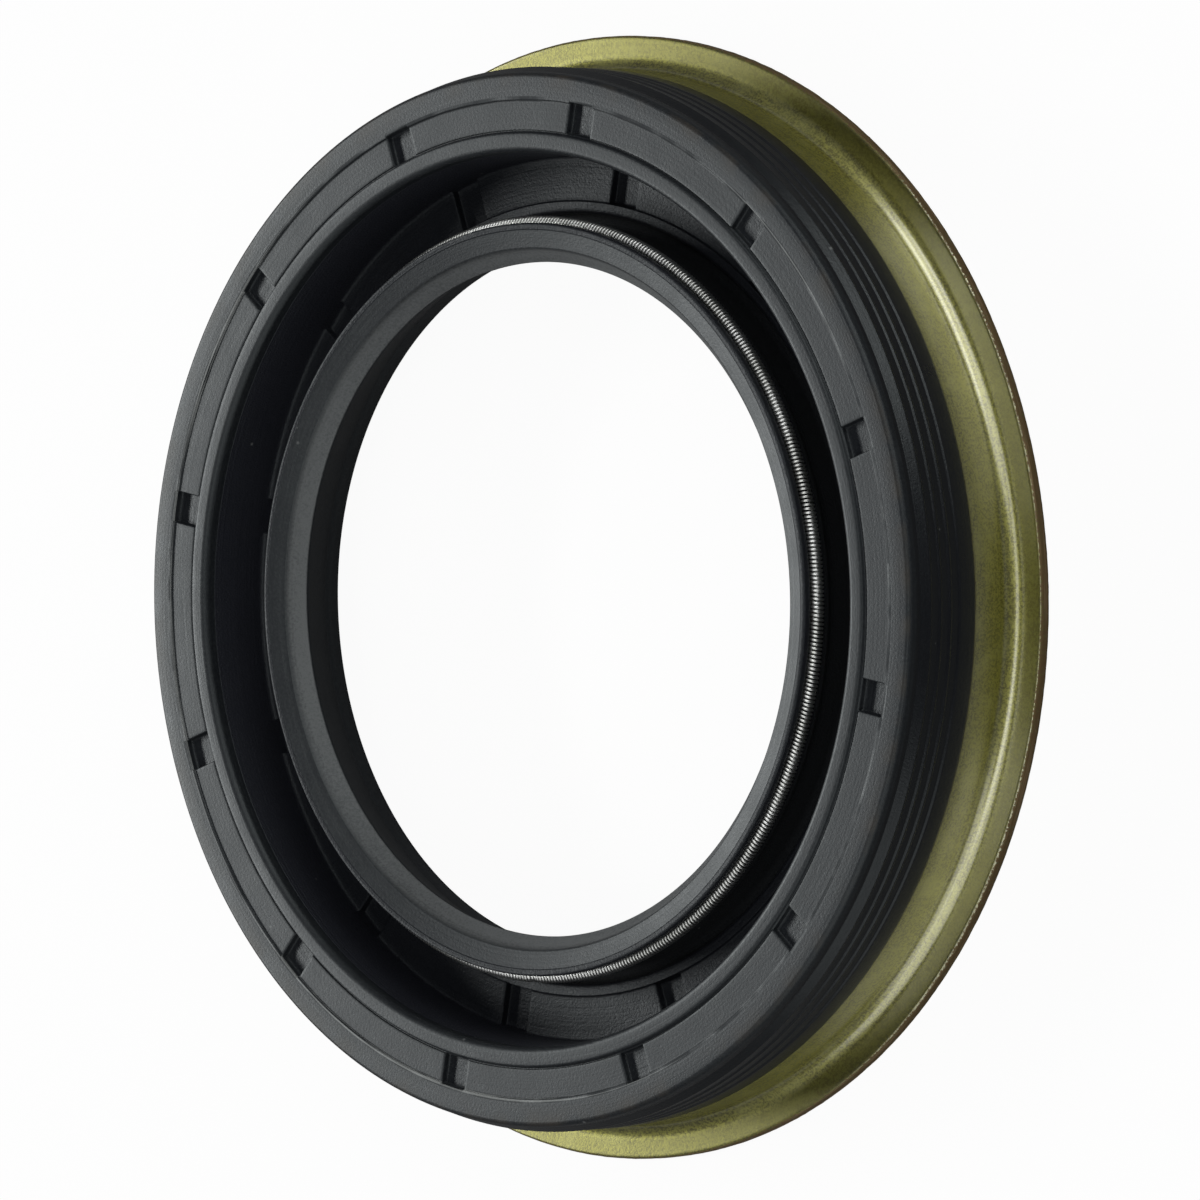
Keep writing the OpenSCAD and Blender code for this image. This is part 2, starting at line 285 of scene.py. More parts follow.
# Small scattered specks, as of dust or pits.
def specksGroup():
    group, make = shaderGroup("scatteredSpecks", [
        ("Spacing", 0.004), ("Size", 0.0002), ("Share", 0.4), ("Seed", 0.0)], ["Mask"])
    given = make("NodeGroupInput").outputs
    where = make("ShaderNodeTexCoord").outputs["Object"]
    shift = make("ShaderNodeCombineXYZ", {"X": given["Seed"], "Y": given["Seed"]}).outputs[0]
    moved = make("ShaderNodeVectorMath", {0: where, 1: shift}, operation="ADD").outputs[0]
    scale = make("ShaderNodeMath", {0: 1.0, 1: given["Spacing"]}, operation="DIVIDE").outputs[0]
    cells = make("ShaderNodeTexVoronoi", {"Vector": moved, "Scale": scale, "Randomness": 1.0})
    reach = make("ShaderNodeMath", {0: given["Size"], 1: given["Spacing"]}, operation="DIVIDE").outputs[0]
    chance = make("ShaderNodeSeparateColor", {0: cells.outputs["Color"]})
    grown = make("ShaderNodeMath", {0: chance.outputs[1], 1: reach}, operation="MULTIPLY").outputs[0]
    dot = make("ShaderNodeMapRange", {"Value": cells.outputs["Distance"], "From Min": grown, "From Max": 0.0})
    keep = make("ShaderNodeMath", {0: chance.outputs[0], 1: given["Share"]}, operation="LESS_THAN").outputs[0]
    mask = make("ShaderNodeMath", {0: dot.outputs[0], 1: keep}, operation="MULTIPLY").outputs[0]
    make("NodeGroupOutput", {"Mask": mask})
    return group


# A faint line along a circle about another centre, worn away here and there.
def rubbedArcGroup():
    group, make = shaderGroup("rubbedArc", [
        ("Centre X", 0.0), ("Centre Y", 0.0), ("Arc Radius", 0.04), ("Line Width", 0.0002)], ["Mask"])
    given = make("NodeGroupInput").outputs
    where = make("ShaderNodeTexCoord").outputs["Object"]
    centre = make("ShaderNodeCombineXYZ", {"X": given["Centre X"], "Y": given["Centre Y"]}).outputs[0]
    offset = make("ShaderNodeVectorMath", {0: where, 1: centre}, operation="SUBTRACT").outputs[0]
    level = make("ShaderNodeVectorMath", {0: offset, 1: (1.0, 1.0, 0.0)}, operation="MULTIPLY").outputs[0]
    length = make("ShaderNodeVectorMath", {0: level}, operation="LENGTH").outputs["Value"]
    away = make("ShaderNodeMath", {0: length, 1: given["Arc Radius"]}, operation="SUBTRACT").outputs[0]
    away = make("ShaderNodeMath", {0: away}, operation="ABSOLUTE").outputs[0]
    line = make("ShaderNodeMapRange", {"Value": away, "From Min": given["Line Width"], "From Max": 0.0})
    wear = make("ShaderNodeTexNoise", {"Vector": where, "Scale": 260.0, "Detail": 3.0, "Roughness": 0.7})
    left = make("ShaderNodeMapRange", {"Value": wear.outputs[0], "From Min": 0.42, "From Max": 0.62})
    mask = make("ShaderNodeMath", {0: line.outputs[0], 1: left.outputs[0]}, operation="MULTIPLY").outputs[0]
    make("NodeGroupOutput", {"Mask": mask})
    return group


turnedMarks, scatteredSpecks, rubbedArc = turnedMarksGroup(), specksGroup(), rubbedArcGroup()


# A material with its Principled shader, and short words for the sums that its masks need.
class Finish:
    def __init__(self, name, **constants):
        self.material = bpy.data.materials.new(name)
        self.material.use_nodes = True
        self.material.node_tree.nodes.clear()
        self.make = nodeMaker(self.material.node_tree)
        self.shader = self.make("ShaderNodeBsdfPrincipled")
        for label, value in constants.items():
            self.shader.inputs[label.replace("_", " ")].default_value = value
        self.make("ShaderNodeOutputMaterial", {"Surface": self.shader.outputs[0]})

    def group(self, tree, **inputs):
        named = {label.replace("_", " "): value for label, value in inputs.items()}
        return self.make("ShaderNodeGroup", named, node_tree=tree)

    def math(self, operation, first, second=0.0):
        return self.make("ShaderNodeMath", {0: first, 1: second}, operation=operation).outputs[0]

    # rises from 0 at one value to 1 at the other
    def ramp(self, value, zeroAt, oneAt):
        node = self.make("ShaderNodeMapRange", {"Value": value, "From Min": zeroAt, "From Max": oneAt})
        return node.outputs[0]

    # 1 between two values, with soft ends
    def band(self, value, start, end, soft):
        rise = self.ramp(value, start - soft, start + soft)
        fall = self.ramp(value, end + soft, end - soft)
        return self.math("MULTIPLY", rise, fall)

    def mixColor(self, factor, first, second):
        node = self.make("ShaderNodeMix", {0: factor, 6: first, 7: second}, data_type="RGBA")
        return node.outputs[2]

    def mixValue(self, factor, first, second):
        return self.make("ShaderNodeMix", {0: factor, 2: first, 3: second}, data_type="FLOAT").outputs[0]

    def bump(self, height, strength, distance):
        node = self.make("ShaderNodeBump", {"Strength": strength, "Distance": distance, "Height": height})
        return node.outputs[0]

    def feed(self, **links):
        for label, value in links.items():
            self.material.node_tree.links.new(value, self.shader.inputs[label.replace("_", " ")])
        return self.material


# The rubber moulding: coat, front ring with its notches, bead, trough with its slots, band, lip, heel
moulding = {
    "pockets": 12,
    "notchHalfWidth": 1.4,
    "notchDepth": 0.6,
    "faceRise": 0.155,    # of the outer face above the notched ring
    "slotHalfWidth": 1.575,
    "slotFloor": 7.42,    # depths of floors go down from the notched ring
    "troughFloor": 6.72,
    "bondFloor": 7.65,
    "webFloor": 8.55,
    "heelFloor": 9.14,
    "plainColumns": 9,    # between a pocket and the middle of the gap to the next one
    "partingRagged": 0.13,
    "coatEndRagged": 0.16,
    "ribDepths": (1.92, 3.17, 4.42),
    "coatEnd": 7.6,
    "edge": 0.07,         # radius of a moulded edge
}

# Each step across a pocket's side: how far out from its half width, and how deep, from 0 to 1
pocketSide = [(0.30, 0.0), (0.10, 0.003), (0.03, 0.035), (0.0, 0.12), (-0.02, 0.5), (-0.045, 0.88),
              (-0.08, 0.97), (-0.16, 1.0), (-0.85, 1.0)]


# Corners of the section: radius, height, round, raggedOut, raggedUp, then where the point goes
# inside a pocket. The loop runs from the coat's end up the outside, over the front and back below.
def mouldingCorners():
    edge = moulding["edge"]
    end = moulding["coatEnd"]
    torn = moulding["coatEndRagged"]
    base, crest = ribs(0.13), ribs(0)
    corners = [(ribs(0.25), down(end + 0.02), 0, 0, torn), (ribs(0.10), down(end + 0.02), 0, 0, torn),
               (ribs(0.02), down(end - 0.05), 0, 0, torn), (crest, down(end - 0.2), 0, 0, 0),
               (crest, down(5.67), edge), (base, down(5.47), edge)]
    for depth in reversed(moulding["ribDepths"]):
        corners += [(base, down(depth + 0.3), edge), (crest, down(depth + 0.1), 0.05),
                    (crest, down(depth), 0.05), (base, down(depth - 0.2), edge)]
    # the first rib runs up into the lead-in chamfer; then the rounded edge and the outer face
    corners.pop()
    corners += [(ribs(0.50), down(1.13), 0.08), (ribs(0.50), down(0.80), 0)]
    corners += arc(ribs(1.00), down(0.345), 0.50, 0, 90, 6)
    corners += [(ribs(2.45), down(-moulding["faceRise"]), 0)]
    ragged = moulding["partingRagged"]
    # parting step and notched ring; inside a notch the same points make its end walls and floor
    deep = moulding["notchDepth"]
    step = [((2.66, -0.15), (2.70, -0.15), 0.3), ((2.80, -0.15), (2.78, -0.12), 0.8),
            ((2.89, -0.14), (2.81, -0.03), 1), ((2.925, -0.10), (2.82, 0.30 * deep), 1),
            ((2.93, -0.03), (2.84, 0.60 * deep), 1), ((2.96, 0.0), (2.87, 0.88 * deep), 1),
            ((3.10, 0.005), (2.93, 0.97 * deep), 0.6), ((3.35, 0.005), (3.03, deep), 0),
            ((4.10, 0.0), (3.60, deep), 0), ((4.70, 0.0), (4.70, deep), 0),
            ((5.30, 0.0), (5.30, deep), 0), ((5.46, 0.005), (5.44, 0.96 * deep), 0),
            ((5.505, 0.02), (5.49, 0.88 * deep), 0), ((5.53, 0.05), (5.52, 0.5 * deep), 0),
            ((5.545, 0.08), (5.54, 0.2), 0), ((5.57, 0.10), (5.565, 0.12), 0)]
    for (width, depth), (insideWidth, insideDepth), share in step:
        corners.append((ribs(width), down(depth), 0, ragged * share, 0, ribs(insideWidth), down(insideDepth)))
    # valley, dome of the bead and the trough's wall
    dome = [(5.61, 0.10), (5.65, 0.075), (5.69, -0.01), (5.72, -0.10), (5.76, -0.165), (5.82, -0.21),
            (5.92, -0.238), (6.10, -0.248), (6.45, -0.25), (6.85, -0.25)]
    corners += [(ribs(width), down(depth), 0) for width, depth in dome]
    corners += arc(ribs(6.85), down(0.35), 0.60, 96, 180, 7)
    corners += [(ribs(7.50), down(2.2), 0), (ribs(7.60), down(5.2), 0)]
    # trough floor; inside a slot the same points go down to its floor
    plain, slot = moulding["troughFloor"], moulding["slotFloor"]
    floor = [((7.63, 6.10), (7.63, 6.10)), ((7.64, 6.38), (7.64, 6.50)), ((7.68, 6.55), (7.645, 7.10)),
             ((7.80, 6.68), (7.68, 7.32)), ((8.00, plain), (7.80, slot)), ((8.50, plain), (8.30, slot)),
             ((9.80, plain), (9.80, slot)), ((11.20, plain), (11.25, slot)), ((11.43, 6.71), (11.43, 7.39)),
             ((11.48, 6.68), (11.49, 7.28)), ((11.52, 6.62), (11.53, 6.95)), ((11.55, 6.54), (11.56, 6.56))]
    for (width, depth), (insideWidth, insideDepth) in floor:
        corners.append((ribs(width), down(depth), 0, 0, 0, ribs(insideWidth), down(insideDepth)))
    # raised band, round gap behind the lip, ledge and spring groove
    corners += [(lip(5.30), down(6.46), 0.06), (lip(4.45), down(6.48), 0.4), (lip(4.20), down(7.10), 0)]
    corners += arc(lip(3.68), down(7.02), 0.53, -15, -165, 6)
    corners += [(lip(3.15), down(6.95), 0), (lip(3.05), down(4.70), 0.25), (lip(3.72), down(3.75), 0.15),
                (lip(3.80), down(3.16), 0.04)]
    corners += arc(lip(3.40), down(2.65), 0.67, -60, -262, 10)
    # nose, lip edge, slope under it and heel
    heel, web, bond = moulding["heelFloor"], moulding["webFloor"], moulding["bondFloor"]
    corners += [(lip(3.38), down(1.80), 0), (lip(3.38), down(1.10), 0.5), (lip(1.20), down(1.70), 0.16),
                (lip(0.82), down(2.30), 0.6), (lip(0.0), down(3.20), 0.05), (lip(0.0), down(3.50), 0.05),
                (lip(1.70), down(7.30), 0.4), (lip(1.70), down(8.89), 0), (lip(1.95), down(heel), 0),
                (lip(6.70), down(heel), 0), (lip(6.72), down(web), 0)]
    # where it is bonded to the steel, just below the sheet's surface
    corners += [(lip(4.95), down(web), 0), (lip(4.95), down(bond), 0), (lip(9.80), down(bond), 0),
                (lip(10.15), down(7.30), 0), (lip(10.15), down(3.60), 0)]
    corners += arc(lip(11.40), down(3.60), 1.25, 150, 90, 2)
    corners += arc(lip(14.80), down(3.60), 1.25, 90, 0, 3)
    corners += [(lip(16.05), down(6.50), 0), (lip(16.65), down(7.10), 0)]
    return corners


def mouldingColumns():
    blank = (0, 0, None, None)
    section = roundSection([(*corner, *blank[len(corner) - 3:]) for corner in mouldingCorners()])
    share = math.pi / moulding["pockets"]

    def pocketAngle(radius, offset, middle):
        blend = min(1, max(0, (radius - ribs(7.6)) / (ribs(5.5) - ribs(7.6))))
        half = moulding["slotHalfWidth"] + blend * (moulding["notchHalfWidth"] - moulding["slotHalfWidth"])
        return 0 if middle else math.asin(max(0.05, half + offset) / radius)

    def column(side, offset, depth, middle=False, plain=0.0):
        points = []
        for r, z, raggedOut, raggedUp, insideR, insideZ in section:
            if insideR is not None:
                r, z = r + (insideR - r) * depth, z + (insideZ - z) * depth
                raggedOut = raggedOut * (1 - depth)
            angle = pocketAngle(r, offset, middle)
            angle = side * (angle + (share - angle) * plain)
            points.append((r * math.cos(angle), r * math.sin(angle), z, raggedOut, raggedUp))
        return points

    plain = [k / moulding["plainColumns"] for k in range(1, moulding["plainColumns"] + 1)]
    left = [column(-1, pocketSide[0][0], 0, plain=k) for k in reversed(plain)]
    left += [column(-1, offset, depth) for offset, depth in pocketSide]
    right = [column(1, offset, depth) for offset, depth in reversed(pocketSide)]
    right += [column(1, pocketSide[0][0], 0, plain=k) for k in plain]
    return left + [column(1, 0, 1, middle=True)] + right


def rubberFinish():
    look = {
        "black": (0.0050, 0.0060, 0.0078, 1),
        "worn": (0.0140, 0.0160, 0.0175, 1),
        "trimmed": (0.100, 0.105, 0.105, 1),
        "cast": (0.0034, 0.0038, 0.0065, 1),
        "wall": (0.0090, 0.0095, 0.0140, 1),
        "gap": (0.0012, 0.0012, 0.0022, 1),
        "coat": (0.0035, 0.0038, 0.0050, 1),
        "smear": (0.020, 0.0165, 0.013, 1),
        "dust": (0.26, 0.27, 0.26, 1),
        "glossy": 0.42,
        "matte": 0.50,
        "bumpStrength": 0.6,
        "bumpDepth": 0.000055,
    }
    finish = Finish("mouldedRubber", Specular_IOR_Level=0.42, Specular_Tint=(0.90, 0.985, 0.985, 1))
    marks = finish.group(turnedMarks, Streak_Width=0.00024, Streak_Length=0.05, Grain_Size=0.00024,
                         Cloud_Size=0.0035).outputs
    specks = finish.group(scatteredSpecks, Spacing=0.0028, Size=0.00024, Share=0.40,
                          Seed=0.7).outputs["Mask"]
    arcs = [finish.group(rubbedArc, Centre_X=x * mm, Centre_Y=y * mm, Arc_Radius=r * mm,
                         Line_Width=0.00009).outputs["Mask"]
            for x, y, r in ((-3.2, -2.4, 41.9), (2.6, 3.1, 43.4), (0, 0, 43.45), (0.5, -0.4, 44.3))]
    lines = finish.math("ADD", finish.math("ADD", arcs[0], arcs[1]), finish.math("ADD", arcs[2], arcs[3]))
    lines = finish.math("MULTIPLY", lines, 0.8)

    def between(value, low, high, soft=0.05):
        return finish.band(value, low * mm, high * mm, soft * mm)

    radius, level = marks["Radius"], marks["Height"]
    deep = moulding["notchDepth"]
    top = between(level, down(0.05), down(-1))
    coat = finish.math("MULTIPLY", between(radius, ribs(0.60), ribs(-1)), between(level, 0, down(0.7)))
    trimmed = finish.math("MULTIPLY", between(radius, 0, lip(1.1), 0.15), between(level, down(3.3), down(0)))
    # masks for the notch floors, the trough with its slots and the trough's outer wall, which all get painted
    # shade
    notchFloor = finish.math("MULTIPLY", between(radius, ribs(5.45), ribs(2.9)),
                             between(level, down(deep + 0.1), down(deep - 0.12)))
    trough = finish.math("MULTIPLY", between(radius, lip(2.8), ribs(7.3)), between(level, 0, down(1.0)))
    wall = finish.math("MULTIPLY", between(radius, ribs(7.66), ribs(7.3)), between(level, 0, down(1.0)))
    cast = finish.math("MAXIMUM", finish.math("MULTIPLY", notchFloor, 0.35), trough)
    tone = finish.mixValue(0.55, marks["Streaks"], marks["Grain"])
    wear = finish.math("ADD", finish.ramp(tone, 0.45, 0.66), lines)
    color = finish.mixColor(wear, look["black"], look["worn"])
    # torn bits of the parting step are painted pale: painted glints
    torn = finish.math("MULTIPLY", between(radius, ribs(2.98), ribs(2.70), 0.04), top)
    paintedGlints = finish.math("MULTIPLY", torn, finish.ramp(marks["Streaks"], 0.52, 0.60))
    color = finish.mixColor(finish.math("MULTIPLY", paintedGlints, 0.6), color, look["dust"])
    color = finish.mixColor(coat, color, look["coat"])
    freshly = finish.math("MULTIPLY", trimmed, finish.ramp(tone, 0.15, 0.55))
    color = finish.mixColor(freshly, color, look["trimmed"])
    # painted shade: the trough with its slots, and partly the notch floors, are darkened
    color = finish.mixColor(cast, color, look["cast"])
    # painted shade: the trough's outer wall gets a darker bluish tone
    color = finish.mixColor(wall, color, look["wall"])
    # painted shade: the round gap behind the lip is made nearly black
    gap = finish.math("MULTIPLY", between(radius, lip(2.3), lip(4.3)), between(level, 0, down(3.3)))
    color = finish.mixColor(gap, color, look["gap"])
    # a thin brown smear near the face's outer edge
    edge = finish.math("MULTIPLY", finish.ramp(radius, ribs(2.4) * mm, ribs(1.0) * mm), top)
    smeared = finish.math("MULTIPLY", edge, finish.ramp(marks["Clouds"], 0.42, 0.66))
    color = finish.mixColor(smeared, color, look["smear"])
    color = finish.mixColor(finish.math("MULTIPLY", specks, 0.55), color, look["dust"])
    rough = finish.mixValue(finish.ramp(tone, 0.35, 0.65), look["glossy"], look["matte"])
    cloudy = finish.ramp(marks["Clouds"], 0.35, 0.65)
    rough = finish.math("ADD", rough, finish.math("MULTIPLY", cloudy, 0.035))
    rough = finish.math("SUBTRACT", rough, finish.math("MULTIPLY", lines, 0.12))
    # the parting step is dull in places, and the notched ring is a little duller than the face
    parting = finish.math("MULTIPLY", between(radius, ribs(3.05), ribs(2.62)),
                          finish.ramp(marks["Clouds"], 0.60, 0.42))
    ring = finish.math("MULTIPLY", between(radius, ribs(5.6), ribs(2.9)), top)
    duller = finish.math("ADD", finish.math("MULTIPLY", parting, 0.3), finish.math("MULTIPLY", ring, 0.025))
    rough = finish.math("ADD", rough, duller)
    rough = finish.math("ADD", rough, finish.math("MULTIPLY", finish.math("ADD", trimmed, cast), 0.09))
    rough = finish.math("ADD", rough, finish.math("MULTIPLY", gap, 0.35))
    rough = finish.math("SUBTRACT", rough, finish.math("MULTIPLY", coat, 0.15))  # the coat is the glossiest
    height = finish.mixValue(0.6, marks["Streaks"], marks["Grain"])
    height = finish.math("MULTIPLY", height, finish.math("ADD", finish.math("MULTIPLY", cast, 2.5), 1.0))
    normal = finish.bump(height, look["bumpStrength"], look["bumpDepth"])
    return finish.feed(Base_Color=color, Roughness=rough, Normal=normal)


mouldingMesh = sectorMesh("rubberSector", mouldingColumns())
print("rubber sector has", len(mouldingMesh.vertices), "points")
turnedPiece("rubberMoulding", mouldingMesh, "rubber_body", rubberFinish(),
            repeats=moulding["pockets"], raggedSize=0.0011, wander=1.4)


# The pressed steel case
sheet = {
    "thickness": 1.0,
    "wall": 46.0,
    "neck": 45.4,
    "filletRadius": 1.45,
    "rim": caseHigh.x - 0.05,
    "fold": caseHigh.z,
    "innerWall": 39.4,
    "webTop": 5.9,
    "webHole": 34.2,
    "neckFoot": 6.4,     # heights between which the wall draws in to the neck
    "neckTop": 7.0,
    "outerBend": 1.3,    # radius of a bend outside and inside
    "innerBend": 0.3,
    "sectors": 12,
    "columns": 56,       # per sector
    "rimRagged": 0.09,
}


def sheetCorners():
    t, wall, neck, fold = sheet["thickness"], sheet["wall"], sheet["neck"], sheet["fold"]
    fillet, inner, web, rim = sheet["filletRadius"], sheet["innerWall"], sheet["webTop"], sheet["rim"]
    rough = sheet["rimRagged"]
    outer, tight = sheet["outerBend"], sheet["innerBend"]
    foot, top = sheet["neckFoot"], sheet["neckTop"]
    bend = fold - outer
    corners = [(rim - 0.06, 0.0, 0, rough, 0), (rim - 0.01, 0.08, 0, rough, 0), (rim - 0.01, 0.30, 0, rough, 0),
               (rim, 0.55, 0, rough, 0), (rim - 0.01, 0.78, 0, rough, 0), (rim - 0.05, 0.90, 0, rough * 0.8, 0),
               (rim - 0.13, 0.97, 0, rough * 0.5, 0), (rim - 0.25, t, 0, 0, 0), (rim - 0.4, t, 0, 0, 0),
               (wall + fillet + 0.35, t, 0, 0, 0)]
    corners += arc(wall + fillet, t + fillet, fillet, 270, 180, 12, 0, 0)
    corners += [(wall, 4.4, 0, 0, 0), (wall, foot, 0.2, 0, 0), (neck, top, 0.2, 0, 0)]
    corners += arc(neck - outer, bend, outer, 0, 90, 5, 0, 0)
    corners += arc(inner + outer, bend, outer, 90, 180, 5, 0, 0)
    corners += arc(inner - tight, web + tight, tight, 0, -90, 2, 0, 0)
    corners += [(sheet["webHole"], web, 0.08, 0, 0), (sheet["webHole"], web - t, 0.12, 0, 0)]
    corners += arc(inner - tight, web + tight, outer, -90, 0, 8, 0, 0)
    corners += arc(inner + outer, bend, tight, 180, 90, 3, 0, 0)
    corners += arc(neck - outer, bend, tight, 90, 0, 3, 0, 0)
    corners += [(neck - t, top, tight, 0, 0), (wall - t, foot, tight, 0, 0)]
    corners += arc(wall + fillet, t + fillet, fillet + t, 180, 270, 10, 0, 0)
    corners += [(wall + fillet + 0.3, 0.0, 0, 0, 0), (rim - 0.3, 0.0, 0, 0, 0)]
    return corners


def sheetColumns():
    section = roundSection(sheetCorners())
    columns = []
    for k in range(sheet["columns"] + 1):
        angle = 2 * math.pi / sheet["sectors"] * (k / sheet["columns"] - 0.5)
        columns.append([(r * math.cos(angle), r * math.sin(angle), z, out, up) for r, z, out, up in section])
    return columns


def oliveFinish():
    look = {
        "olive": (0.355, 0.345, 0.048, 1),
        "deep": (0.165, 0.155, 0.015, 1),
        "pale": (0.450, 0.445, 0.120, 1),
        "stain": (0.040, 0.030, 0.028, 1),
        "brown": (0.115, 0.074, 0.026, 1),
        "rust": (0.200, 0.135, 0.065, 1),
        "glossy": 0.36,
        "matte": 0.50,
        "bumpStrength": 0.6,
        "bumpDepth": 0.00005,
    }
    finish = Finish("olivePassivatedSteel", IOR=1.5, Coat_IOR=2.5, Coat_Roughness=0.22)
    marks = finish.group(turnedMarks, Streak_Width=0.00030, Streak_Length=0.008, Grain_Size=0.00022,
                         Cloud_Size=0.003).outputs
    specks = finish.group(scatteredSpecks, Spacing=0.0011, Size=0.00018, Share=0.35,
                          Seed=0.3).outputs["Mask"]
    tone = finish.mixValue(0.8, marks["Streaks"], marks["Grain"])
    color = finish.mixColor(finish.ramp(tone, 0.43, 0.55), look["deep"], look["olive"])
    cloudy = finish.math("MULTIPLY", finish.ramp(marks["Clouds"], 0.5, 0.75), 0.5)
    color = finish.mixColor(cloudy, color, look["pale"])
    color = finish.mixColor(finish.math("MULTIPLY", specks, 0.4), color, look["deep"])
    # the flat rim is painted a darker olive than the wall and the fillet, as painted shade for the body's shade
    # on it
    flat = finish.ramp(marks["Radius"], (sheet["wall"] + 1.1) * mm, (sheet["wall"] + 1.7) * mm)
    color = finish.mixColor(finish.math("MULTIPLY", flat, 0.6), color, look["deep"])
    # rubber that bled out under the coat's end leaves a ragged dark stain on the outer wall
    reach = finish.math("MULTIPLY", finish.math("SUBTRACT", tone, 0.5), 0.0012)
    stain = finish.ramp(finish.math("ADD", marks["Height"], reach), down(7.95) * mm, down(7.62) * mm)
    outside = finish.ramp(marks["Radius"], (sheet["wall"] - 0.4) * mm, (sheet["wall"] - 0.2) * mm)
    stain = finish.math("MULTIPLY", stain, outside)
    color = finish.mixColor(stain, color, look["stain"])
    # the sheared rim is bare brown steel, and its border with the olive top is ragged
    border = finish.math("MULTIPLY", finish.math("SUBTRACT", marks["Grain"], 0.5), 0.0007)
    sheared = finish.ramp(finish.math("ADD", marks["Radius"], border),
                          (sheet["rim"] - 0.14) * mm, (sheet["rim"] - 0.06) * mm)
    shearedColor = finish.mixColor(finish.ramp(marks["Streaks"], 0.52, 0.66), look["brown"], look["rust"])
    color = finish.mixColor(sheared, color, shearedColor)
    bare = finish.math("MAXIMUM", sheared, stain)
    grainy = finish.ramp(marks["Grain"], 0.3, 0.7)
    rough = finish.math("ADD", finish.mixValue(grainy, look["glossy"], look["matte"]),
                        finish.math("MULTIPLY", sheared, 0.25))
    height = finish.mixValue(0.7, marks["Streaks"], marks["Grain"])
    return finish.feed(Base_Color=color, Metallic=finish.mixValue(bare, 0.95, 0.3), Roughness=rough,
                       Coat_Weight=finish.ramp(bare, 1.0, 0.0),
                       Normal=finish.bump(height, look["bumpStrength"], look["bumpDepth"]))


turnedPiece("pressedCase", sectorMesh("caseSector", sheetColumns()), "case", oliveFinish(),
            repeats=sheet["sectors"], raggedSize=0.0007, wander=0.4)


# The garter spring: one turn of close-wound wire, repeated round the ring
coil = {
    "turns": 594,
    "wire": 0.128,       # radius
    "steps": 12,
    "sides": 8,
    "hand": 1,           # 1 winds one way and -1 the other
    "jointAngle": -1.92,  # where the spring's two ends meet, in radians
    "jointLength": 0.02,  # half of the drawn-in stretch, in radians
    "jointTaper": 0.25,   # how far the coils draw in there
}


def coilColumns():
    reach = coilRadius - coil["wire"]
    step = 2 * math.pi / coil["turns"]

    def centre(t):
        angle, lay = coil["hand"] * 2 * math.pi * t, step * t
        radius = springRadius + reach * math.cos(angle)
        return Vector((radius * math.cos(lay), radius * math.sin(lay), springHeight + reach * math.sin(angle)))

    columns = []
    for k in range(coil["steps"] + 1):
        t = k / coil["steps"]
        tangent = (centre(t + 0.001) - centre(t - 0.001)).normalized()
        heart = Vector((springRadius * math.cos(step * t), springRadius * math.sin(step * t), springHeight))
        outward = centre(t) - heart
        outward = (outward - tangent * outward.dot(tangent)).normalized()
        side = tangent.cross(outward)
        column = []
        for j in range(coil["sides"]):
            a = 2 * math.pi * j / coil["sides"]
            point = centre(t) + (outward * math.cos(a) + side * math.sin(a)) * coil["wire"]
            column.append((*point, 0, 0))
        columns.append(column)
    return columns


def wireFinish():
    look = {"bright": (0.74, 0.75, 0.73, 1), "dull": (0.56, 0.57, 0.54, 1)}
    finish = Finish("drawnSpringWire", Metallic=1.0)
    marks = finish.group(turnedMarks, Streak_Width=0.0003, Streak_Length=0.004, Grain_Size=0.00012,
                         Cloud_Size=0.005).outputs
    color = finish.mixColor(finish.ramp(marks["Clouds"], 0.4, 0.65), look["dull"], look["bright"])
    rough = finish.mixValue(marks["Grain"], 0.28, 0.40)
    return finish.feed(Base_Color=color, Roughness=rough, Normal=finish.bump(marks["Grain"], 0.1, 0.00001))


turnedPiece("garterSpring", sectorMesh("coilTurn", coilColumns()), "garter_spring", wireFinish(),
            repeats=coil["turns"], ringRadius=springRadius * mm, ringHeight=springHeight * mm,
            jointAngle=coil["jointAngle"], jointLength=coil["jointLength"], jointTaper=coil["jointTaper"])


# The camera stands where the photograph was taken: the seal's axis points out to the picture's left
view = {"tilt": 43.6427, "turn": 181.248, "roll": 18.8, "unit": 42.0, "aside": -0.171782, "above": 0.000186,
        "away": 18.4613, "focus": 8950.1, "picture": 1200}


def placeCamera():
    tilt, turn = math.radians(view["tilt"]), math.radians(view["turn"])
    axis = Vector((math.sin(tilt) * math.cos(turn), math.sin(tilt) * math.sin(turn), math.cos(tilt)))
    upright = Vector((0, 1, 0)) - axis * axis.y
    upright.normalize()
    sideways = upright.cross(axis)
    turned = Matrix.Rotation(-math.radians(view["roll"]), 3, "Z") @ Matrix((sideways, upright, axis))
    place = turned @ Vector((-view["aside"], -view["above"], view["away"])) * view["unit"] * mm
    place.z += ringHeight * mm
    lens = bpy.data.cameras.new("photoCamera")
    lens.sensor_width = 36
    lens.lens = 36 * view["focus"] / view["picture"]
    camera = bpy.data.objects.new("photoCamera", lens)
    bpy.context.scene.collection.objects.link(camera)
    camera.matrix_world = Matrix.Translation(place) @ turned.to_4x4()
    bpy.context.scene.camera = camera


placeCamera()
print("camera placed")

